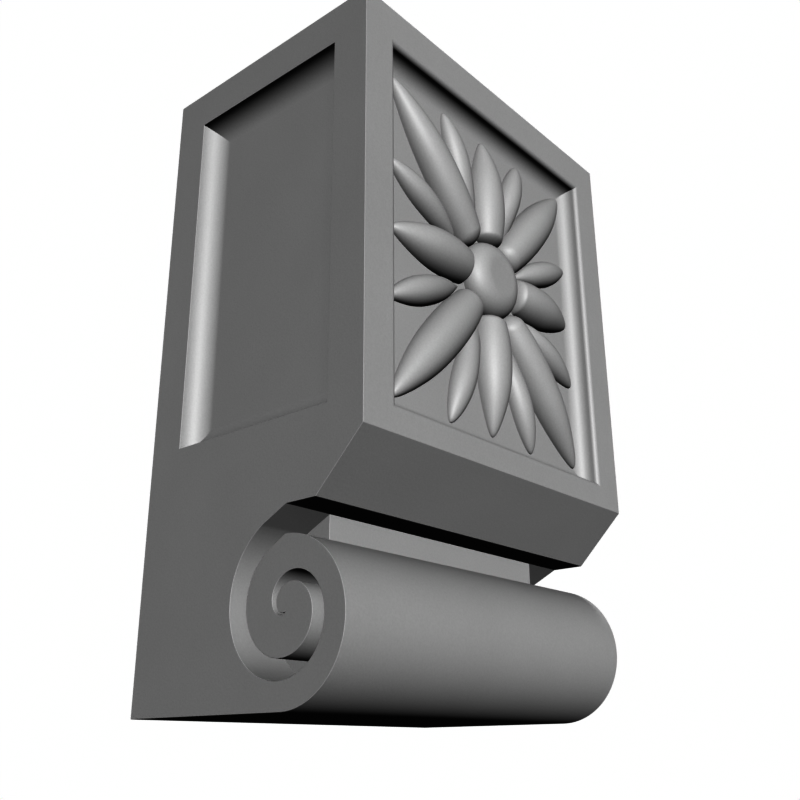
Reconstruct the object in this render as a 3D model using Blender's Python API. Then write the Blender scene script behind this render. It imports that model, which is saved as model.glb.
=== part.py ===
"""Carved stone bracket: a block with sunk panels and a flower, over a foot rolled into a scroll.

+Z is up, the flower faces -Y, and the flat back that meets the wall faces +Y. Lengths are in metres.
The shapes are drawn with y counted from the front face, and the finished bracket is moved so that its
origin is under the middle of its bounding box.
"""

import math
from dataclasses import dataclass

import bmesh
import bpy

MM = 0.001

# The block and its foot, seen from the side
WIDTH = 200 * MM
HEIGHT = 315 * MM
DEPTH = 135 * MM
FRONT_BOTTOM = 104.7 * MM
CHAMFER = 25 * MM
THROAT_BACK = 41.7 * MM
ROLL_RADIUS = 33.7 * MM
ROLL_MIDDLE_Y = 41.6 * MM
ROLL_STEPS = 24

# The groove that winds into each end of the roll
EYE_Y = 39.5 * MM
EYE_Z = 38.4 * MM
GROOVE_DEPTH = 25 * MM
GROOVE_LAP = 1.5 * MM
OUTER_PITCH = 26.1 * MM
INNER_PITCH = 18.15 * MM
GROOVE_TURNS = 1.46
GROOVE_END_TURNS = 0.08
GROOVE_START = math.radians(66.2)
STEPS_PER_TURN = 44

# The panels sunk into the sides, with a quarter-round hollow all round
PANEL_BOTTOM = 117.7 * MM
PANEL_TOP = 295 * MM
SIDE_PANEL_FRONT = 20 * MM
SIDE_PANEL_BACK = 115 * MM
SIDE_PANEL_DEPTH = 10 * MM
HOLLOW_STEPS = 8

# The panel sunk into the front, with an ogee moulding all round
FRONT_MARGIN = 20 * MM
OGEE_ROUND = 2.5 * MM
OGEE_HOLLOW = 7.5 * MM
FRONT_PANEL_DEPTH = OGEE_ROUND + OGEE_HOLLOW
OGEE_STEPS = 6

# The flower
FLOWER_Z = 206.2 * MM
BOSS_RADIUS = 20.1 * MM
BOSS_FLAT_SHARE = 0.46
BOSS_EDGE = 0.3 * MM
BOSS_RISE = 10 * MM
BOSS_SIDES = 40
BOSS_RINGS = 7
PETAL_STATIONS = 14
PETAL_FACETS = 10
PETAL_EDGE = 0.15 * MM
PETAL_SQUARENESS = 2.1
PETAL_FULLNESS = 0.53
ROOT_DEPTH = 2 * MM
PETALS_PROUD = 1.35 * MM

CUTTER_MARGIN = 5 * MM
MERGE_DISTANCE = 0.001 * MM
SHARP_ANGLE = math.radians(35)


@dataclass(frozen=True)
class Petal:
    """One kind of petal, in millimetres. Places are (across, up) from the flower's centre.

    half_widths and crests are read at the base, at the two thirds of the length and at the tip. The
    rounds are the shares of the length, at the base and at the tip, over which each falls to nothing.
    """

    base: tuple
    tip: tuple
    half_widths: tuple
    crests: tuple
    outline_rounds: tuple
    crest_rounds: tuple


UPRIGHT = Petal(
    base=(0, 19.4),
    tip=(0, 81.4),
    half_widths=(8, 11.2, 9.7, 6.6),
    crests=(8.1, 11, 9.5, 5.7),
    outline_rounds=(0.06, 0.5),
    crest_rounds=(0.07, 0.46),
)
LEVEL = Petal(
    base=(19.1, 0),
    tip=(72.6, 0),
    half_widths=(8.8, 11.3, 9.8, 6.8),
    crests=(8.8, 11.2, 9.5, 6.3),
    outline_rounds=(0.07, 0.55),
    crest_rounds=(0.08, 0.51),
)
DIAGONAL = Petal(
    base=(13, 14.8),
    tip=(72.5, 80.8),
    half_widths=(7.6, 11.1, 9.8, 6.4),
    crests=(7.6, 11, 9.8, 6.6),
    outline_rounds=(0.06, 0.44),
    crest_rounds=(0.08, 0.48),
)
STEEP = Petal(
    base=(9.3, 24),
    tip=(32.4, 82.3),
    half_widths=(4.3, 6.5, 7.6, 6.3),
    crests=(0.2, 5.4, 7.8, 6.2),
    outline_rounds=(0.06, 0.49),
    crest_rounds=(0.27, 0.61),
)
SHALLOW = Petal(
    base=(23.8, 11.4),
    tip=(74.6, 34.9),
    half_widths=(1.7, 6.5, 7.1, 4.8),
    crests=(0.3, 6.2, 7.8, 6.3),
    outline_rounds=(0.36, 0.45),
    crest_rounds=(0.14, 0.71),
)


def main():
    """Clears the scene, carves the block and adds the flower."""
    for item in list(bpy.data.objects):
        bpy.data.objects.remove(item)
    bracket = new_object("carved_bracket", prism(side_outline(), WIDTH, 0))
    for cutter in (*grooves(), *side_panels(), front_panel()):
        combine(bracket, cutter, "DIFFERENCE")
    for solid in (*petals(), boss()):
        combine(bracket, solid, "UNION")
    finish(bracket)


def finish(bracket):
    """Moves the origin under the middle, gives the stone its colour and shades its rounds smooth."""
    to_middle = (DEPTH - PETALS_PROUD) / 2
    for vertex in bracket.data.vertices:
        vertex.co.y -= to_middle
    stone = bpy.data.materials.new("stone")
    stone.use_nodes = True
    shader = stone.node_tree.nodes["Principled BSDF"]
    shader.inputs["Base Color"].default_value = (0.5, 0.5, 0.5, 1)
    shader.inputs["Roughness"].default_value = 0.6
    bracket.data.materials.clear()
    bracket.data.materials.append(stone)
    bracket.data.shade_smooth()
    bracket.data.set_sharp_from_angle(angle=SHARP_ANGLE)


def new_object(name, shape):
    """An object made from a bmesh, with its faces turned outwards."""
    bmesh.ops.recalc_face_normals(shape, faces=shape.faces)
    mesh = bpy.data.meshes.new(name)
    shape.to_mesh(mesh)
    shape.free()
    made = bpy.data.objects.new(name, mesh)
    bpy.context.scene.collection.objects.link(made)
    return made


def combine(body, shape, operation):
    """Cuts a shape out of the body, or joins it on."""
    tool = new_object("tool", shape)
    boolean = body.modifiers.new("boolean", "BOOLEAN")
    boolean.operation = operation
    boolean.solver = "EXACT"
    boolean.object = tool
    graph = bpy.context.evaluated_depsgraph_get()
    before = body.data
    body.data = bpy.data.meshes.new_from_object(body.evaluated_get(graph))
    body.data.name = body.name
    body.modifiers.remove(boolean)
    bpy.data.meshes.remove(before)
    bpy.data.objects.remove(tool)


def prism(outline, width, middle_x):
    """A solid with this (y, z) outline, width across and centred on middle_x."""
    shape = bmesh.new()
    left = middle_x - width / 2
    side = shape.faces.new([shape.verts.new((left, y, z)) for y, z in outline])
    carried = bmesh.ops.extrude_face_region(shape, geom=[side])["geom"]
    corners = [item for item in carried if isinstance(item, bmesh.types.BMVert)]
    bmesh.ops.translate(shape, verts=corners, vec=(width, 0, 0))
    return shape


def loft(rings):
    """A solid through rings that have the same number of corners. A ring may be gathered to a point."""
    shape = bmesh.new()
    rows = [[shape.verts.new(corner) for corner in ring] for ring in rings]
    for low, high in zip(rows, rows[1:]):
        for i, corner in enumerate(low):
            shape.faces.new((low[i - 1], corner, high[i], high[i - 1]))
    shape.faces.new(rows[0])
    shape.faces.new(rows[-1])
    bmesh.ops.remove_doubles(shape, verts=shape.verts, dist=MERGE_DISTANCE)
    return shape


def side_outline():
    """Block, chamfer, throat and roll, as (y, z) corners."""
    throat_top = FRONT_BOTTOM - CHAMFER
    corners = [(DEPTH, 0), (DEPTH, HEIGHT), (0, HEIGHT), (0, FRONT_BOTTOM)]
    corners += [(CHAMFER, throat_top), (THROAT_BACK, throat_top), (THROAT_BACK, 2 * ROLL_RADIUS)]
    for i in range(ROLL_STEPS + 1):
        angle = math.pi * i / ROLL_STEPS
        y = ROLL_MIDDLE_Y - ROLL_RADIUS * math.sin(angle)
        corners.append((y, ROLL_RADIUS * (1 + math.cos(angle))))
    return corners


def spiral(pitch):
    """One wall of the groove, which comes nearer to the eye by pitch in each turn."""
    turns = GROOVE_TURNS - GROOVE_END_TURNS
    steps = round(turns * STEPS_PER_TURN)
    for i in range(steps + 1):
        turned = turns * i / steps
        angle = GROOVE_START - math.tau * turned
        radius = pitch * (GROOVE_TURNS - turned)
        yield EYE_Y + radius * math.cos(angle), EYE_Z + radius * math.sin(angle)


def grooves():
    """The two winding grooves, from their mouths at the back of the throat to their ends beside the eye.

    Each laps a little into the open throat, so that no skin of stone is left across its mouth.
    """
    top = FRONT_BOTTOM - CHAMFER
    bottom = 2 * ROLL_RADIUS
    outline = [(THROAT_BACK, bottom), (THROAT_BACK - GROOVE_LAP, bottom + GROOVE_LAP)]
    outline += [(THROAT_BACK - GROOVE_LAP, top - GROOVE_LAP), (THROAT_BACK, top)]
    outline += [*spiral(OUTER_PITCH), *reversed([*spiral(INNER_PITCH)])]
    for side in (-1, 1):
        yield prism(outline, 2 * GROOVE_DEPTH, side * WIDTH / 2)


def side_panels():
    """A box for each side, with the edges of its inner face rounded to leave the hollow."""
    for side in (-1, 1):
        shape = bmesh.new()
        bmesh.ops.create_cube(shape, size=1)
        size = (2 * SIDE_PANEL_DEPTH, SIDE_PANEL_BACK - SIDE_PANEL_FRONT, PANEL_TOP - PANEL_BOTTOM)
        bmesh.ops.scale(shape, verts=shape.verts, vec=size)
        middle = (side * WIDTH / 2, (SIDE_PANEL_BACK + SIDE_PANEL_FRONT) / 2, (PANEL_TOP + PANEL_BOTTOM) / 2)
        bmesh.ops.translate(shape, verts=shape.verts, vec=middle)
        floor = min(shape.faces, key=lambda face: side * face.calc_center_median().x)
        bmesh.ops.bevel(
            shape,
            geom=floor.edges[:],
            offset=SIDE_PANEL_DEPTH,
            segments=HOLLOW_STEPS,
            profile=0.5,
            affect="EDGES",
            material=-1,
        )
        yield shape


def ogee():
    """Inset and depth down the front moulding: a small round at its rim, then a hollow to its floor."""
    quarter = [math.pi / 2 * i / OGEE_STEPS for i in range(OGEE_STEPS + 1)]
    for angle in quarter[:-1]:
        yield OGEE_ROUND * math.sin(angle), OGEE_ROUND * (1 - math.cos(angle))
    for angle in quarter:
        yield OGEE_ROUND + OGEE_HOLLOW * (1 - math.cos(angle)), OGEE_ROUND + OGEE_HOLLOW * math.sin(angle)


def front_panel():
    """Rectangles one behind the other, each set in as the moulding is."""
    middle_z = (PANEL_TOP + PANEL_BOTTOM) / 2
    half_width = WIDTH / 2 - FRONT_MARGIN + OGEE_ROUND
    half_height = (PANEL_TOP - PANEL_BOTTOM) / 2 + OGEE_ROUND
    rings = []
    for inset, depth in ((0, -CUTTER_MARGIN), *ogee()):
        x = half_width - inset
        z = half_height - inset
        corners = ((-x, -z), (x, -z), (x, z), (-x, z))
        rings.append([(across, depth, middle_z + up) for across, up in corners])
    return loft(rings)


def through_thirds(values, share):
    """The cubic through four values that stand at 0, 1/3, 2/3 and 1."""
    total = 0
    for i, value in enumerate(values):
        for j in range(4):
            if j != i:
                value *= (3 * share - j) / (i - j)
        total += value
    return total


def rounded(share, rounds):
    """1 along the middle of a petal, falling to 0 at its ends as an ellipse does."""
    base_round, tip_round = rounds
    near_base = max(0, (base_round - share) / base_round)
    near_tip = max(0, (share - 1 + tip_round) / tip_round)
    return math.sqrt((1 - near_base**2) * (1 - near_tip**2))


def petal(kind, flip_x, flip_z):
    """One petal, with its root sunk into the floor of the panel."""
    base_x, base_z = flip_x * kind.base[0] * MM, flip_z * kind.base[1] * MM
    run_x, run_z = flip_x * kind.tip[0] * MM - base_x, flip_z * kind.tip[1] * MM - base_z
    length = math.hypot(run_x, run_z)
    rings = []
    for i in range(PETAL_STATIONS + 1):
        share = (1 - math.cos(math.pi * i / PETAL_STATIONS)) / 2
        half_width = MM * through_thirds(kind.half_widths, share) * rounded(share, kind.outline_rounds)
        crest = MM * through_thirds(kind.crests, share) * rounded(share, kind.crest_rounds)
        section = [(-half_width, -ROOT_DEPTH)]
        for k in range(PETAL_FACETS + 1):
            off = -math.cos(math.pi * k / PETAL_FACETS)
            rise = max(0, 1 - abs(off) ** PETAL_SQUARENESS) ** PETAL_FULLNESS
            section.append((off * half_width, PETAL_EDGE + crest * rise))
        section.append((half_width, -ROOT_DEPTH))
        ring = []
        for across, height in section:
            x = base_x + share * run_x - across * run_z / length
            z = base_z + share * run_z + across * run_x / length
            ring.append((x, FRONT_PANEL_DEPTH - height, FLOWER_Z + z))
        rings.append(ring)
    return loft(rings)


def petals():
    """The sixteen petals: upright and level ones on the flower's axes, and three kinds in each quarter."""
    for side in (-1, 1):
        yield petal(UPRIGHT, 1, side)
        yield petal(LEVEL, side, 1)
        for end in (-1, 1):
            yield petal(DIAGONAL, side, end)
            yield petal(STEEP, side, end)
            yield petal(SHALLOW, side, end)


def boss():
    """The flat-topped dome in the middle of the flower, turned about its own axis."""
    shape = bmesh.new()
    profile = [(BOSS_RADIUS, -ROOT_DEPTH)]
    for i in range(BOSS_RINGS + 1):
        angle = math.pi / 2 * i / BOSS_RINGS
        share = BOSS_FLAT_SHARE + (1 - BOSS_FLAT_SHARE) * math.cos(angle)
        profile.append((BOSS_RADIUS * share, BOSS_EDGE + BOSS_RISE * math.sin(angle)))
    corners = [shape.verts.new((x, FRONT_PANEL_DEPTH - height, FLOWER_Z)) for x, height in profile]
    edges = [shape.edges.new(pair) for pair in zip(corners, corners[1:])]
    bmesh.ops.spin(
        shape,
        geom=corners + edges,
        cent=(0, 0, FLOWER_Z),
        axis=(0, 1, 0),
        angle=math.tau,
        steps=BOSS_SIDES,
        use_merge=True,
    )
    bmesh.ops.remove_doubles(shape, verts=shape.verts, dist=MERGE_DISTANCE)
    bmesh.ops.holes_fill(shape, edges=shape.edges)
    return shape


main()
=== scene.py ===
"""The looks of the carved stone bracket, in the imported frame.

The CAD node gives the outer sizes and the place. One piece stands for it: the same block, roll, scrolls,
panels and flower, with fine curves and eased arrises, rubbed smooth where it is carved and left as it was
sawn where it meets the building. +Z is up and the flower faces -Y, in metres.
"""

import logging
import math
from collections.abc import Iterable, Iterator
from dataclasses import dataclass
from enum import Enum

import bmesh
import bpy
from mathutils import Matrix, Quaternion, Vector


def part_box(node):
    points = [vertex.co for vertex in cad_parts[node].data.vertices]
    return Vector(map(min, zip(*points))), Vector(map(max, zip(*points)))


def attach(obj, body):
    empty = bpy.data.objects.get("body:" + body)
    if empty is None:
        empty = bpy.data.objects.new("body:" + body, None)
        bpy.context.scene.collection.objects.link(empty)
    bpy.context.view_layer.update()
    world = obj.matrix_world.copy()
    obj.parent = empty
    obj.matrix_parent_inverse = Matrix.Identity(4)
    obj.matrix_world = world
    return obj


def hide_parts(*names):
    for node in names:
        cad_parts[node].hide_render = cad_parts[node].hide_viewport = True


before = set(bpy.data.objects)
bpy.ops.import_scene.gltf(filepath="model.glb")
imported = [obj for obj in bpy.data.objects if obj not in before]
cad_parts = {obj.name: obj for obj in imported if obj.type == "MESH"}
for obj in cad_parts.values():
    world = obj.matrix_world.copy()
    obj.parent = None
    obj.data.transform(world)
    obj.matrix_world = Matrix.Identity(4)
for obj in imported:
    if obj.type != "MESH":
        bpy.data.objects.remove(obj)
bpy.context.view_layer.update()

LOG = logging.getLogger("bracket")
NODE = "carved_bracket"
MM = 0.001
MERGE_DISTANCE = 0.001 * MM
QUARTER_TURN = math.pi / 2


class Join(Enum):
    """How a shape meets the stone."""

    CUT = "DIFFERENCE"
    ADD = "UNION"


@dataclass(frozen=True)
class Petal:
    """One kind of petal, in millimetres, with places as (across, up) from the flower's centre.

    half_widths and crests are read at the base, at the two thirds of the length and at the tip. The
    rounds are the shares of the length, at the base and at the tip, over which each falls to nothing.
    """

    base: tuple[float, float]
    tip: tuple[float, float]
    half_widths: tuple[float, float, float, float]
    crests: tuple[float, float, float, float]
    outline_rounds: tuple[float, float]
    crest_rounds: tuple[float, float]

    @staticmethod
    def through_thirds(values: tuple[float, ...], share: float) -> float:
        """The cubic through four values that stand at 0, 1/3, 2/3 and 1.

        Args:
            values: The four values.
            share: Where along the petal, from 0 at its base to 1 at its tip.

        Returns:
            The cubic's value there.
        """
        total = 0.0
        for i, value in enumerate(values):
            for j in range(4):
                if j != i:
                    value *= (3 * share - j) / (i - j)
            total += value
        return total

    @staticmethod
    def rounded(share: float, rounds: tuple[float, float]) -> float:
        """1 along the middle of a petal, falling to 0 at its ends as an ellipse does.

        Args:
            share: Where along the petal, from 0 at its base to 1 at its tip.
            rounds: The shares of the length that are rounded at the base and at the tip.

        Returns:
            What the width or height there is multiplied by.
        """
        near_base = max(0.0, (rounds[0] - share) / rounds[0])
        near_tip = max(0.0, (share - 1 + rounds[1]) / rounds[1])
        return math.sqrt(max(0.0, (1 - near_base**2) * (1 - near_tip**2)))

    def stations(self, steps: int) -> list[float]:
        """Shares of the length from base to tip, closer together where the ends are rounded.

        Args:
            steps: How many steps each rounded end has.

        Returns:
            The shares, in order.
        """
        near = max(self.outline_rounds[0], self.crest_rounds[0])
        far = min(max(self.outline_rounds[1], self.crest_rounds[1]), 1 - near)
        ends = [1 - math.cos(QUARTER_TURN * i / steps) for i in range(steps)]
        middle = math.ceil((1 - near - far) * steps)
        shares = [near * end for end in ends]
        shares += [near + (1 - near - far) * i / middle for i in range(middle)] if middle else []
        return shares + [1 - far] + [1 - far * end for end in reversed(ends)]

    def half_width(self, share: float) -> float:
        """Half the petal's width at this share of its length, in metres."""
        return MM * self.through_thirds(self.half_widths, share) * self.rounded(share, self.outline_rounds)

    def crest(self, share: float) -> float:
        """How far the petal's ridge stands over its edge at this share of its length, in metres."""
        return MM * self.through_thirds(self.crests, share) * self.rounded(share, self.crest_rounds)


class PetalKind(Enum):
    """The five shapes of petal."""

    UPRIGHT = Petal(
        base=(0, 19.4),
        tip=(0, 81.4),
        half_widths=(8, 11.2, 9.7, 6.6),
        crests=(8.1, 11, 9.5, 5.7),
        outline_rounds=(0.06, 0.5),
        crest_rounds=(0.07, 0.46),
    )
    LEVEL = Petal(
        base=(19.1, 0),
        tip=(72.6, 0),
        half_widths=(8.8, 11.3, 9.8, 6.8),
        crests=(8.8, 11.2, 9.5, 6.3),
        outline_rounds=(0.07, 0.55),
        crest_rounds=(0.08, 0.51),
    )
    DIAGONAL = Petal(
        base=(13, 14.8),
        tip=(72.5, 80.8),
        half_widths=(7.6, 11.1, 9.8, 6.4),
        crests=(7.6, 11, 9.8, 6.6),
        outline_rounds=(0.06, 0.44),
        crest_rounds=(0.08, 0.48),
    )
    STEEP = Petal(
        base=(9.3, 24),
        tip=(32.4, 82.3),
        half_widths=(4.3, 6.5, 7.6, 6.3),
        crests=(0.2, 5.4, 7.8, 6.2),
        outline_rounds=(0.06, 0.49),
        crest_rounds=(0.27, 0.61),
    )
    SHALLOW = Petal(
        base=(23.8, 11.4),
        tip=(74.6, 34.9),
        half_widths=(1.7, 6.5, 7.1, 4.8),
        crests=(0.3, 6.2, 7.8, 6.3),
        outline_rounds=(0.36, 0.45),
        crest_rounds=(0.14, 0.71),
    )


def vertices_of(made: Iterable[object]) -> list[bmesh.types.BMVert]:
    """The vertices among an operator's results."""
    return [item for item in made if isinstance(item, bmesh.types.BMVert)]


def object_from(name: str, shape: bmesh.types.BMesh) -> bpy.types.Object:
    """Makes an object of a finished bmesh, with its faces turned outwards.

    Args:
        name: The object's name.
        shape: The bmesh, which is freed.

    Returns:
        The new object, at the origin.
    """
    bmesh.ops.remove_doubles(shape, verts=shape.verts, dist=MERGE_DISTANCE)
    bmesh.ops.recalc_face_normals(shape, faces=shape.faces)
    mesh = bpy.data.meshes.new(name)
    shape.to_mesh(mesh)
    shape.free()
    made = bpy.data.objects.new(name, mesh)
    bpy.context.scene.collection.objects.link(made)
    return made


def combine(body: bpy.types.Object, shapes: Iterable[bmesh.types.BMesh], join: Join) -> None:
    """Cuts shapes out of a body, or adds them to it.

    Args:
        body: The object, whose mesh is replaced.
        shapes: Closed bmeshes, which are freed.
        join: Whether they are cut away or added.
    """
    for shape in shapes:
        tool = object_from("tool", shape)
        boolean = body.modifiers.new("boolean", "BOOLEAN")
        boolean.operation = join.value
        boolean.solver = "EXACT"
        boolean.object = tool
        graph = bpy.context.evaluated_depsgraph_get()
        before = body.data
        body.data = bpy.data.meshes.new_from_object(body.evaluated_get(graph))
        body.modifiers.remove(boolean)
        bpy.data.meshes.remove(before)
        bpy.data.objects.remove(tool)


@dataclass
class Block:
    """The block and the roll under it, before anything is sunk into them.

    Lengths are in metres. y counts from the front face and z from the underside.
    """

    width: float
    height: float
    depth: float
    front: float
    front_bottom: float = 104.7 * MM
    chamfer: float = 25 * MM
    throat_back: float = 41.7 * MM
    roll_radius: float = 33.7 * MM
    roll_middle: float = 41.6 * MM
    roll_steps: int = 90

    @property
    def throat_top(self) -> float:
        """The height of the underside of the block, over the throat."""
        return self.front_bottom - self.chamfer

    def build(self) -> bmesh.types.BMesh:
        """Draws the side as one face and carries it across.

        Returns:
            The closed shape.
        """
        shape = bmesh.new()
        left = -self.width / 2
        crown = shape.verts.new((left, self.front + self.roll_middle, 2 * self.roll_radius))
        bmesh.ops.spin(
            shape,
            geom=[crown],
            cent=(left, self.front + self.roll_middle, self.roll_radius),
            axis=(1, 0, 0),
            angle=math.pi,
            steps=self.roll_steps,
        )
        shape.verts.ensure_lookup_table()
        foot = min(shape.verts, key=lambda vertex: vertex.co.z)
        corners = [
            (self.depth, 0),
            (self.depth, self.height),
            (0, self.height),
            (0, self.front_bottom),
            (self.chamfer, self.throat_top),
            (self.throat_back, self.throat_top),
            (self.throat_back, 2 * self.roll_radius),
        ]
        path = [foot, *(shape.verts.new((left, self.front + y, z)) for y, z in corners), crown]
        for near, far in zip(path, path[1:]):
            shape.edges.new((near, far))
        side = bmesh.ops.contextual_create(shape, geom=shape.edges[:])["faces"]
        carried = bmesh.ops.extrude_face_region(shape, geom=side)["geom"]
        bmesh.ops.translate(shape, verts=vertices_of(carried), vec=(self.width, 0, 0))
        return shape


@dataclass
class Scroll:
    """The groove that winds into each end of the roll, between two spirals about one eye."""

    block: Block
    eye_y: float = 39.5 * MM
    eye_z: float = 38.4 * MM
    depth: float = 25 * MM
    lap: float = 1.5 * MM
    outer_pitch: float = 26.1 * MM
    inner_pitch: float = 18.15 * MM
    turns: float = 1.46
    end_turns: float = 0.08
    start: float = math.radians(66.2)
    steps_per_turn: int = 120

    def spiral(self, pitch: float) -> Iterator[tuple[float, float]]:
        """One wall of the groove, from its start to its end beside the eye.

        Args:
            pitch: How much nearer the wall comes to the eye in each turn.

        Yields:
            (y, z) along the wall.
        """
        steps = round((self.turns - self.end_turns) * self.steps_per_turn)
        for i in range(steps + 1):
            turned = (self.turns - self.end_turns) * i / steps
            angle = self.start - math.tau * turned
            radius = pitch * (self.turns - turned)
            yield self.eye_y + radius * math.cos(angle), self.eye_z + radius * math.sin(angle)

    def cutters(self) -> Iterator[bmesh.types.BMesh]:
        """The two shapes that are cut away, each open into the throat.

        Yields:
            A closed shape for each end of the roll.
        """
        block = self.block
        back, top, bottom = block.throat_back, block.throat_top, 2 * block.roll_radius
        outline = [
            (back, bottom),
            (back - self.lap, bottom + self.lap),
            (back - self.lap, top - self.lap),
            (back, top),
            *self.spiral(self.outer_pitch),
            *reversed([*self.spiral(self.inner_pitch)]),
        ]
        for side in (-1, 1):
            shape = bmesh.new()
            inside = side * (block.width / 2 - self.depth)
            rim = [shape.verts.new((inside, block.front + y, z)) for y, z in outline]
            floor = shape.faces.new(rim)
            carried = bmesh.ops.extrude_face_region(shape, geom=[floor])["geom"]
            bmesh.ops.translate(shape, verts=vertices_of(carried), vec=(side * 2 * self.depth, 0, 0))
            yield shape


@dataclass
class SidePanels:
    """The plain panels sunk into both sides, with a quarter-round hollow all round."""

    block: Block
    near: float = 20 * MM
    far: float = 115 * MM
    bottom: float = 117.7 * MM
    top: float = 295 * MM
    sinking: float = 10 * MM
    hollow_steps: int = 20

    def cutters(self) -> Iterator[bmesh.types.BMesh]:
        """A box for each side, with the edges of its inner face rounded to leave the hollow.

        Yields:
            A closed shape for each side.
        """
        for side in (-1, 1):
            shape = bmesh.new()
            bmesh.ops.create_cube(shape, size=1)
            size = (2 * self.sinking, self.far - self.near, self.top - self.bottom)
            bmesh.ops.scale(shape, verts=shape.verts, vec=size)
            middle_y = self.block.front + (self.far + self.near) / 2
            middle = (side * self.block.width / 2, middle_y, (self.top + self.bottom) / 2)
            bmesh.ops.translate(shape, verts=shape.verts, vec=middle)
            floor = min(shape.faces, key=lambda face: side * face.calc_center_median().x)
            bmesh.ops.bevel(
                shape,
                geom=floor.edges[:],
                offset=self.sinking,
                segments=self.hollow_steps,
                profile=0.5,
                affect="EDGES",
                material=-1,
            )
            yield shape


@dataclass
class FrontPanel:
    """The panel sunk into the front, with an ogee moulding all round."""

    block: Block
    margin: float = 20 * MM
    bottom: float = 117.7 * MM
    top: float = 295 * MM
    small_round: float = 2.5 * MM
    hollow: float = 7.5 * MM
    steps: int = 14
    overshoot: float = 5 * MM

    @property
    def depth(self) -> float:
        """How deep the panel's floor lies."""
        return self.small_round + self.hollow

    def profile(self) -> Iterator[tuple[float, float]]:
        """The moulding from its rim to the floor.

        Yields:
            Inset and depth of each step.
        """
        quarter = [QUARTER_TURN * i / self.steps for i in range(self.steps + 1)]
        for angle in quarter[:-1]:
            yield self.small_round * math.sin(angle), self.small_round * (1 - math.cos(angle))
        for angle in quarter:
            inset = self.small_round + self.hollow * (1 - math.cos(angle))
            yield inset, self.small_round + self.hollow * math.sin(angle)

    def cutter(self) -> bmesh.types.BMesh:
        """Insets the inner face of a box in front of the stone, one step of the moulding at a time.

        Returns:
            The closed shape.
        """
        shape = bmesh.new()
        bmesh.ops.create_cube(shape, size=1)
        across = self.block.width - 2 * (self.margin - self.small_round)
        up = self.top - self.bottom + 2 * self.small_round
        bmesh.ops.scale(shape, verts=shape.verts, vec=(across, self.overshoot, up))
        middle = (0, self.block.front - self.overshoot / 2, (self.top + self.bottom) / 2)
        bmesh.ops.translate(shape, verts=shape.verts, vec=middle)
        floor = max(shape.faces, key=lambda face: face.calc_center_median().y)
        moulding = [*self.profile()]
        for (inset, depth), (next_inset, next_depth) in zip(moulding, moulding[1:]):
            bmesh.ops.inset_region(
                shape,
                faces=[floor],
                thickness=next_inset - inset,
                depth=next_depth - depth,
                use_even_offset=True,
            )
        return shape


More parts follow.
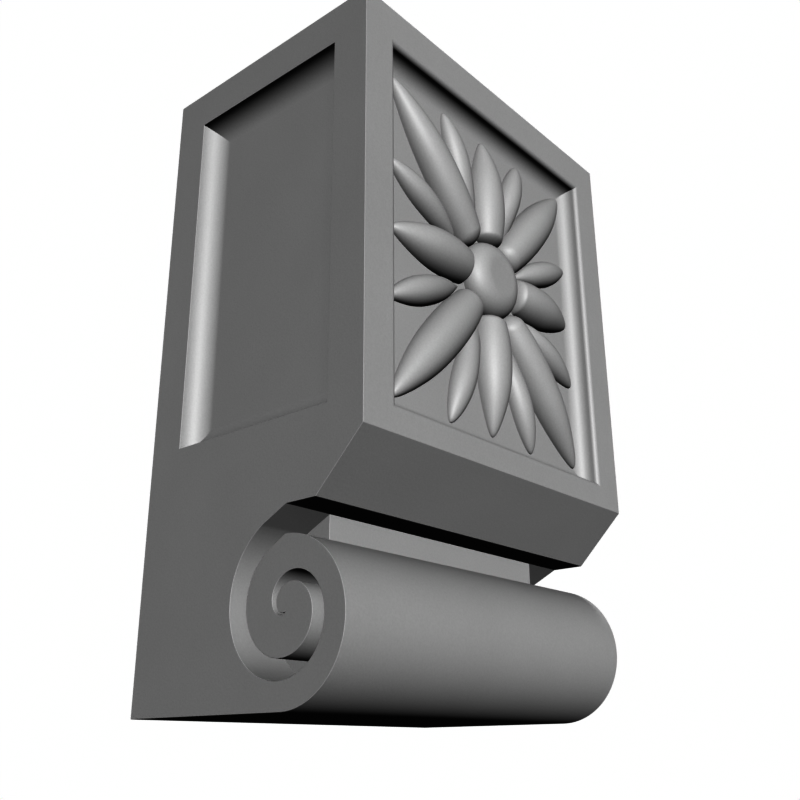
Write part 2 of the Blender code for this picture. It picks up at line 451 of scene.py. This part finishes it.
@dataclass
class Flower:
    """Sixteen petals about a flat-topped boss, on the floor of the front panel."""

    panel: FrontPanel
    height: float = 206.2 * MM
    boss_radius: float = 20.1 * MM
    boss_flat_share: float = 0.46
    boss_edge: float = 0.3 * MM
    boss_rise: float = 10 * MM
    boss_sides: int = 120
    boss_rings: int = 24
    end_steps: int = 18
    facets: int = 32
    edge: float = 0.1 * MM
    squareness: float = 2.1
    fullness: float = 0.53
    root: float = 2 * MM

    @property
    def floor(self) -> float:
        """Where the panel's floor lies."""
        return self.panel.block.front + self.panel.depth

    def petal(self, kind: Petal, flip_x: int, flip_z: int) -> bmesh.types.BMesh:
        """Shapes a grid to the petal's outline and crown, and carries its rim down into the stone.

        Args:
            kind: The kind of petal.
            flip_x: -1 to turn it over to the left.
            flip_z: -1 to turn it over to the bottom.

        Returns:
            The closed shape.
        """
        base = Vector((flip_x * kind.base[0], 0, flip_z * kind.base[1])) * MM
        run = Vector((flip_x * kind.tip[0], 0, flip_z * kind.tip[1])) * MM - base
        aside = run.cross(Vector((0, 1, 0))).normalized()
        start = Vector((0, self.floor, self.height)) + base
        shares = kind.stations(self.end_steps)
        shape = bmesh.new()
        bmesh.ops.create_grid(shape, x_segments=len(shares) - 1, y_segments=self.facets, size=1)
        for vertex in shape.verts:
            share = shares[round((vertex.co.x + 1) / 2 * (len(shares) - 1))]
            off = math.sin(vertex.co.y * QUARTER_TURN)
            rise = max(0.0, 1 - abs(off) ** self.squareness) ** self.fullness
            proud = self.edge + kind.crest(share) * rise
            vertex.co = start + run * share + aside * off * kind.half_width(share)
            vertex.co.y -= proud
        rim = [edge for edge in shape.edges if edge.is_boundary]
        skirt = bmesh.ops.extrude_edge_only(shape, edges=rim)["geom"]
        for vertex in vertices_of(skirt):
            vertex.co.y = self.floor + self.root
        bmesh.ops.remove_doubles(shape, verts=shape.verts, dist=MERGE_DISTANCE)
        bmesh.ops.holes_fill(shape, edges=[edge for edge in shape.edges if edge.is_boundary])
        return shape

    def petals(self) -> Iterator[bmesh.types.BMesh]:
        """Every petal: one of each kind in each quarter, or above, below and at each side of the boss.

        Yields:
            Each petal's closed shape.
        """
        for side in (-1, 1):
            yield self.petal(PetalKind.UPRIGHT.value, 1, side)
            yield self.petal(PetalKind.LEVEL.value, side, 1)
            for end in (-1, 1):
                yield self.petal(PetalKind.DIAGONAL.value, side, end)
                yield self.petal(PetalKind.STEEP.value, side, end)
                yield self.petal(PetalKind.SHALLOW.value, side, end)

    def boss(self) -> bmesh.types.BMesh:
        """Turns the flat-topped dome in the middle about its own axis.

        Returns:
            The closed shape.
        """
        shape = bmesh.new()
        profile = [(self.boss_radius, -self.root)]
        for i in range(self.boss_rings + 1):
            angle = QUARTER_TURN * i / self.boss_rings
            share = self.boss_flat_share + (1 - self.boss_flat_share) * math.cos(angle)
            profile.append((self.boss_radius * share, self.boss_edge + self.boss_rise * math.sin(angle)))
        corners = [shape.verts.new((x, self.floor - proud, self.height)) for x, proud in profile]
        edges = [shape.edges.new(pair) for pair in zip(corners, corners[1:])]
        bmesh.ops.spin(
            shape,
            geom=corners + edges,
            cent=(0, 0, self.height),
            axis=(0, 1, 0),
            angle=math.tau,
            steps=self.boss_sides,
            use_merge=True,
        )
        bmesh.ops.remove_doubles(shape, verts=shape.verts, dist=MERGE_DISTANCE)
        bmesh.ops.holes_fill(shape, edges=[edge for edge in shape.edges if edge.is_boundary])
        return shape


@dataclass(frozen=True)
class Grain:
    """The grain that every finish shares: fine grains over a faint clouding."""

    grain_size: float = 0.9 * MM
    grain_detail: float = 2
    cloud_size: float = 45 * MM
    cloud_detail: float = 3
    cloud_share: float = 0.35

    def noise(
        self, group: bpy.types.ShaderNodeTree, place: bpy.types.NodeSocket, size: float, detail: float
    ) -> bpy.types.NodeSocket:
        """Adds one noise to the group.

        Args:
            group: The group.
            place: The place on the stone.
            size: How large its lumps are.
            detail: How many finer noises lie over it.

        Returns:
            The noise's value.
        """
        made = group.nodes.new("ShaderNodeTexNoise")
        made.inputs["Scale"].default_value = 1 / size
        made.inputs["Detail"].default_value = detail
        group.links.new(place, made.inputs["Vector"])
        return made.outputs["Fac"]

    def group(self) -> bpy.types.ShaderNodeTree:
        """Builds the grain.

        Returns:
            A group that turns a place into a tone and a height.
        """
        group = bpy.data.node_groups.new("stone grain", "ShaderNodeTree")
        group.interface.new_socket("Place", in_out="INPUT", socket_type="NodeSocketVector")
        group.interface.new_socket("Tone", in_out="OUTPUT", socket_type="NodeSocketFloat")
        group.interface.new_socket("Height", in_out="OUTPUT", socket_type="NodeSocketFloat")
        place = group.nodes.new("NodeGroupInput").outputs["Place"]
        result = group.nodes.new("NodeGroupOutput")
        grains = self.noise(group, place, self.grain_size, self.grain_detail)
        clouds = self.noise(group, place, self.cloud_size, self.cloud_detail)
        tone = group.nodes.new("ShaderNodeMix")
        tone.inputs["Factor"].default_value = self.cloud_share
        group.links.new(grains, tone.inputs["A"])
        group.links.new(clouds, tone.inputs["B"])
        group.links.new(tone.outputs["Result"], result.inputs["Tone"])
        group.links.new(grains, result.inputs["Height"])
        return group


@dataclass(frozen=True)
class Look:
    """The two things that a finish varies over a face."""

    tone: bpy.types.NodeSocket
    height: bpy.types.NodeSocket


@dataclass(frozen=True)
class StoneFinish:
    """One finish of the stone: its light and dark grains, how rough and deep they are, and its sheen."""

    name: str
    light: float
    dark: float
    roughness: float
    grain_depth: float
    sheen: float

    def work_over(
        self, tree: bpy.types.ShaderNodeTree, place: bpy.types.NodeSocket, look: Look
    ) -> Look:
        """What working the face has done to its grain: nothing, on a face that is rubbed smooth."""
        return look

    def material(self, grain: bpy.types.ShaderNodeTree) -> bpy.types.Material:
        """Builds the material.

        Args:
            grain: The shared grain group.

        Returns:
            The material, which reads Object coordinates.
        """
        made = bpy.data.materials.new(self.name)
        made.use_nodes = True
        tree = made.node_tree
        shader = tree.nodes["Principled BSDF"]
        shader.inputs["Roughness"].default_value = self.roughness
        shader.inputs["Specular IOR Level"].default_value = self.sheen
        place = tree.nodes.new("ShaderNodeTexCoord").outputs["Object"]
        grains = tree.nodes.new("ShaderNodeGroup")
        grains.node_tree = grain
        tree.links.new(place, grains.inputs["Place"])
        look = self.work_over(tree, place, Look(grains.outputs["Tone"], grains.outputs["Height"]))
        tone = tree.nodes.new("ShaderNodeMix")
        tone.data_type = "RGBA"
        tone.inputs["A"].default_value = (self.dark, self.dark, self.dark, 1)
        tone.inputs["B"].default_value = (self.light, self.light, self.light, 1)
        bump = tree.nodes.new("ShaderNodeBump")
        bump.inputs["Strength"].default_value = 1
        bump.inputs["Distance"].default_value = self.grain_depth
        tree.links.new(look.tone, tone.inputs["Factor"])
        tree.links.new(tone.outputs["Result"], shader.inputs["Base Color"])
        tree.links.new(look.height, bump.inputs["Height"])
        tree.links.new(bump.outputs["Normal"], shader.inputs["Normal"])
        return made


@dataclass(frozen=True)
class SawnFinish(StoneFinish):
    """The stone as it left the saw, whose blade has scored it with fine lines that run the same way."""

    line_width: float = 1.3 * MM
    line_length: float = 160 * MM
    line_detail: float = 3
    line_share: float = 0.45

    def work_over(
        self, tree: bpy.types.ShaderNodeTree, place: bpy.types.NodeSocket, look: Look
    ) -> Look:
        """Lays the saw's lines over the grain.

        Args:
            tree: The material's nodes.
            place: The place on the stone.
            look: The grain's tone and height.

        Returns:
            The tone and height with the lines.
        """
        stretch = tree.nodes.new("ShaderNodeMapping")
        across, along = 1 / self.line_width, 1 / self.line_length
        stretch.inputs["Scale"].default_value = (across, along, along)
        lines = tree.nodes.new("ShaderNodeTexNoise")
        lines.inputs["Scale"].default_value = 1
        lines.inputs["Detail"].default_value = self.line_detail
        tree.links.new(place, stretch.inputs["Vector"])
        tree.links.new(stretch.outputs["Vector"], lines.inputs["Vector"])
        worked = []
        for grain in (look.tone, look.height):
            over = tree.nodes.new("ShaderNodeMix")
            over.inputs["Factor"].default_value = self.line_share
            tree.links.new(grain, over.inputs["A"])
            tree.links.new(lines.outputs["Fac"], over.inputs["B"])
            worked.append(over.outputs["Result"])
        return Look(*worked)


class Surface(Enum):
    """The finish of each kind of face, in the order of the piece's materials."""

    RUBBED = StoneFinish(
        name="rubbed stone", light=0.55, dark=0.45, roughness=0.58, grain_depth=0.03 * MM, sheen=0.88
    )
    SAWN = SawnFinish(
        name="sawn stone", light=0.56, dark=0.4, roughness=0.9, grain_depth=0.12 * MM, sheen=0.2
    )


@dataclass
class Bracket:
    """The whole bracket, carved from one stone."""

    low: Vector
    high: Vector
    block_depth: float = 135 * MM
    ease: float = 0.2 * MM
    ease_steps: int = 5
    sharp_angle: float = math.radians(20)
    flat_angle: float = math.radians(0.05)
    bed_angle: float = math.radians(2)
    mitre_slack: float = 0.001
    least_slope: float = 0.01
    face_weight: int = 100

    def build(self) -> bpy.types.Object:
        """Carves the block, eases its arrises and adds the flower.

        Returns:
            The finished piece.
        """
        block = Block(
            width=self.high.x - self.low.x,
            height=self.high.z - self.low.z,
            depth=self.block_depth,
            front=self.high.y - self.block_depth,
        )
        panel = FrontPanel(block)
        flower = Flower(panel)
        stone = object_from("bracket", block.build())
        combine(stone, (*Scroll(block).cutters(), *SidePanels(block).cutters(), panel.cutter()), Join.CUT)
        self.crease_mitres(stone)
        self.ease_arrises(stone)
        carving = object_from("flower", flower.boss())
        combine(carving, flower.petals(), Join.ADD)
        shape = bmesh.new()
        shape.from_mesh(carving.data)
        bpy.data.objects.remove(carving)
        combine(stone, (shape,), Join.ADD)
        self.dress(stone)
        return stone

    def crease_mitres(self, stone: bpy.types.Object) -> None:
        """Keeps the mitres crisp where two lengths of moulding meet at a corner of a panel.

        Args:
            stone: The carved block, without its flower.
        """
        shape = bmesh.new()
        shape.from_mesh(stone.data)
        for edge in shape.edges:
            along = edge.verts[1].co - edge.verts[0].co
            spans = sorted(abs(step) for step in along)
            diagonal = spans[2] - spans[1] < self.mitre_slack * spans[2]
            if diagonal and spans[0] > self.least_slope * spans[2]:
                edge.smooth = False
        shape.to_mesh(stone.data)
        shape.free()

    def ease_arrises(self, stone: bpy.types.Object) -> None:
        """Rounds the outward arrises a little, as rubbing them down does.

        Args:
            stone: The carved block, without its flower.
        """
        shape = bmesh.new()
        shape.from_mesh(stone.data)
        bmesh.ops.dissolve_limit(
            shape, angle_limit=self.flat_angle, verts=shape.verts, edges=shape.edges
        )
        arrises = [
            edge
            for edge in shape.edges
            if edge.is_manifold and edge.is_convex and edge.calc_face_angle() > self.sharp_angle
        ]
        bmesh.ops.bevel(
            shape,
            geom=arrises,
            offset=self.ease,
            segments=self.ease_steps,
            profile=0.5,
            affect="EDGES",
            material=-1,
        )
        shape.to_mesh(stone.data)
        shape.free()

    def is_bed(self, face: bmesh.types.BMFace) -> bool:
        """Whether a face is one of the flat ones that meet the building: top, back or underside.

        Args:
            face: A face of the finished stone.

        Returns:
            True for a face in one of those three planes.
        """
        beds = (
            (Vector((0, 0, 1)), self.high.z),
            (Vector((0, 1, 0)), self.high.y),
            (Vector((0, 0, -1)), -self.low.z),
        )
        middle = face.calc_center_median()
        return any(
            face.normal.angle(out, math.pi) < self.bed_angle and middle.dot(out) > reach - self.ease
            for out, reach in beds
        )

    def dress(self, stone: bpy.types.Object) -> None:
        """Drops the spare points along straight edges, shades the rounds smooth and finishes each face.

        Args:
            stone: The finished stone.
        """
        mesh = stone.data
        mesh.materials.clear()
        grain = Grain().group()
        surfaces = list(Surface)
        for surface in surfaces:
            mesh.materials.append(surface.value.material(grain))
        shape = bmesh.new()
        shape.from_mesh(mesh)
        spare = [vertex for vertex in shape.verts if len(vertex.link_edges) == 2]
        bmesh.ops.dissolve_verts(shape, verts=spare)
        for face in shape.faces:
            face.smooth = True
            face.material_index = surfaces.index(Surface.SAWN if self.is_bed(face) else Surface.RUBBED)
        for edge in shape.edges:
            if edge.calc_face_angle(0) > self.sharp_angle:
                edge.smooth = False
        shape.to_mesh(mesh)
        shape.free()
        normals = stone.modifiers.new("even shading", "WEIGHTED_NORMAL")
        normals.weight = self.face_weight
        normals.keep_sharp = True


@dataclass
class Studio:
    """The camera, the lights and the pale floor."""

    bracket: bpy.types.Object
    aim: Vector
    distance: float = 499.8 * MM
    azimuth: float = math.radians(-49.47)
    elevation: float = math.radians(-20.27)
    tilt: float = math.radians(-0.34)
    field_of_view: float = math.radians(45)
    key_towards: tuple[float, float, float] = (-95.6, -138.4, 17.6)
    key_strength: float = 4.31
    gloss_strength: float = 4.42
    back_strength: float = 3.6
    top_towards: tuple[float, float, float] = (0.2, 0.35, 1.0)
    top_strength: float = 2.4
    floor_towards: tuple[float, float, float] = (-0.3, -0.4, 1.0)
    floor_strength: float = 3.75
    lamp_breadth: float = math.radians(10)
    floor_breadth: float = math.radians(60)
    floor_size: float = 6.0
    floor_drop: float = 0.2 * MM
    floor_tone: float = 0.9
    fill_strength: float = 0.02

    def towards_camera(self) -> Vector:
        """Works out where the camera stands.

        Returns:
            The direction from the bracket to the camera.
        """
        level = math.cos(self.elevation)
        return Vector(
            (
                math.sin(self.azimuth) * level,
                -math.cos(self.azimuth) * level,
                math.sin(self.elevation),
            )
        )

    def camera(self) -> None:
        """Places the camera, which looks up at the bracket from low on its left."""
        data = bpy.data.cameras.new("camera")
        data.angle = self.field_of_view
        data.clip_start = 10 * MM
        made = bpy.data.objects.new("camera", data)
        bpy.context.scene.collection.objects.link(made)
        made.location = self.aim + self.towards_camera() * self.distance
        look = (-self.towards_camera()).to_track_quat("-Z", "Y")
        made.rotation_euler = (look @ Quaternion((0, 0, 1), self.tilt)).to_euler()
        bpy.context.scene.camera = made

    def lamp(self, name: str, towards: Vector, strength: float, angle: float) -> bpy.types.Object:
        """A broad distant lamp.

        Args:
            name: Its name.
            towards: The direction from the bracket to the lamp.
            strength: The light that falls on a face turned to it, in watts per square metre.
            angle: How broad it looks, in radians.

        Returns:
            The lamp.
        """
        data = bpy.data.lights.new(name, "SUN")
        data.energy = strength
        data.angle = angle
        made = bpy.data.objects.new(name, data)
        made.rotation_euler = towards.to_track_quat("Z", "Y").to_euler()
        bpy.context.scene.collection.objects.link(made)
        return made

    def only_on(self, lamp: bpy.types.Object, lit: bpy.types.Object) -> None:
        """Keeps a lamp's light to one object.

        Args:
            lamp: The lamp.
            lit: The object that it lights.
        """
        lit_by = bpy.data.collections.new(f"lit by {lamp.name}")
        lit_by.objects.link(lit)
        lamp.light_linking.receiver_collection = lit_by

    def floor_paint(self) -> bpy.types.Material:
        """A pale matt paint that shows only on its upper side, and only to the eye.

        Returns:
            The material.
        """
        paint = bpy.data.materials.new("pale floor")
        paint.use_nodes = True
        tree = paint.node_tree
        tree.nodes.clear()
        out = tree.nodes.new("ShaderNodeOutputMaterial")
        pale = tree.nodes.new("ShaderNodeBsdfDiffuse")
        pale.inputs["Color"].default_value = (self.floor_tone, self.floor_tone, self.floor_tone, 1)
        clear = tree.nodes.new("ShaderNodeBsdfTransparent")
        side = tree.nodes.new("ShaderNodeNewGeometry")
        path = tree.nodes.new("ShaderNodeLightPath")
        unseen = tree.nodes.new("ShaderNodeMath")
        unseen.operation = "SUBTRACT"
        unseen.inputs[0].default_value = 1
        hidden = tree.nodes.new("ShaderNodeMath")
        hidden.operation = "MAXIMUM"
        mix = tree.nodes.new("ShaderNodeMixShader")
        tree.links.new(path.outputs["Is Camera Ray"], unseen.inputs[1])
        tree.links.new(unseen.outputs[0], hidden.inputs[0])
        tree.links.new(side.outputs["Backfacing"], hidden.inputs[1])
        tree.links.new(hidden.outputs[0], mix.inputs["Fac"])
        tree.links.new(pale.outputs[0], mix.inputs[1])
        tree.links.new(clear.outputs[0], mix.inputs[2])
        tree.links.new(mix.outputs[0], out.inputs["Surface"])
        return paint

    def floor(self) -> bpy.types.Object:
        """Lays the floor, which the camera looks through because it is lower than the bracket's foot.

        Returns:
            The floor.
        """
        shape = bmesh.new()
        bmesh.ops.create_grid(shape, x_segments=1, y_segments=1, size=self.floor_size / 2)
        bmesh.ops.translate(shape, verts=shape.verts, vec=(0, 0, -self.floor_drop))
        mesh = bpy.data.meshes.new("floor")
        shape.to_mesh(mesh)
        shape.free()
        mesh.materials.append(self.floor_paint())
        made = bpy.data.objects.new("floor", mesh)
        bpy.context.scene.collection.objects.link(made)
        return made

    def surroundings(self) -> None:
        """Plain white surroundings, which give the bracket only a little light."""
        world = bpy.data.worlds.new("surroundings")
        world.use_nodes = True
        tree = world.node_tree
        tree.nodes.clear()
        out = tree.nodes.new("ShaderNodeOutputWorld")
        seen = tree.nodes.new("ShaderNodeBackground")
        seen.inputs["Color"].default_value = (1, 1, 1, 1)
        fill = tree.nodes.new("ShaderNodeBackground")
        fill.inputs["Color"].default_value = (1, 1, 1, 1)
        fill.inputs["Strength"].default_value = self.fill_strength
        path = tree.nodes.new("ShaderNodeLightPath")
        mix = tree.nodes.new("ShaderNodeMixShader")
        tree.links.new(path.outputs["Is Camera Ray"], mix.inputs["Fac"])
        tree.links.new(fill.outputs[0], mix.inputs[1])
        tree.links.new(seen.outputs[0], mix.inputs[2])
        tree.links.new(mix.outputs[0], out.inputs["Surface"])
        bpy.context.scene.world = world
        bpy.context.scene.view_settings.view_transform = "Raw"

    def build(self) -> None:
        """Sets up the whole studio."""
        self.camera()
        self.surroundings()
        floor = self.floor()
        key_way, top_way = Vector(self.key_towards), Vector(self.top_towards)
        key = self.lamp("key", key_way, self.key_strength, self.lamp_breadth)
        gloss = self.lamp("gloss", key_way, self.gloss_strength, self.lamp_breadth)
        behind = self.lamp("back light", -self.towards_camera(), self.back_strength, self.lamp_breadth)
        top = self.lamp("top light", top_way, self.top_strength, self.lamp_breadth)
        above = self.lamp("floor light", Vector(self.floor_towards), self.floor_strength, self.floor_breadth)
        for lamp in (key, gloss, behind, top):
            self.only_on(lamp, self.bracket)
        self.only_on(above, floor)
        gloss.visible_diffuse = False
        for lamp in (key, behind, top):
            lamp.visible_glossy = False
        for lamp in (key, behind):
            lamp.data.use_shadow = False
        self.bracket.visible_diffuse = False
        self.bracket.visible_glossy = False


def main() -> None:
    """Builds the bracket and its studio, and reports the piece."""
    low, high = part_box(NODE)
    stone = Bracket(low, high).build()
    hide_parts(NODE)
    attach(stone, "root")
    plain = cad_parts[NODE]
    LOG.info("%s: %d faces for %d", stone.name, len(stone.data.polygons), len(plain.data.polygons))
    Studio(bracket=stone, aim=(low + high) / 2).build()


if __name__ == "__main__":
    logging.basicConfig(level=logging.INFO)
    main()
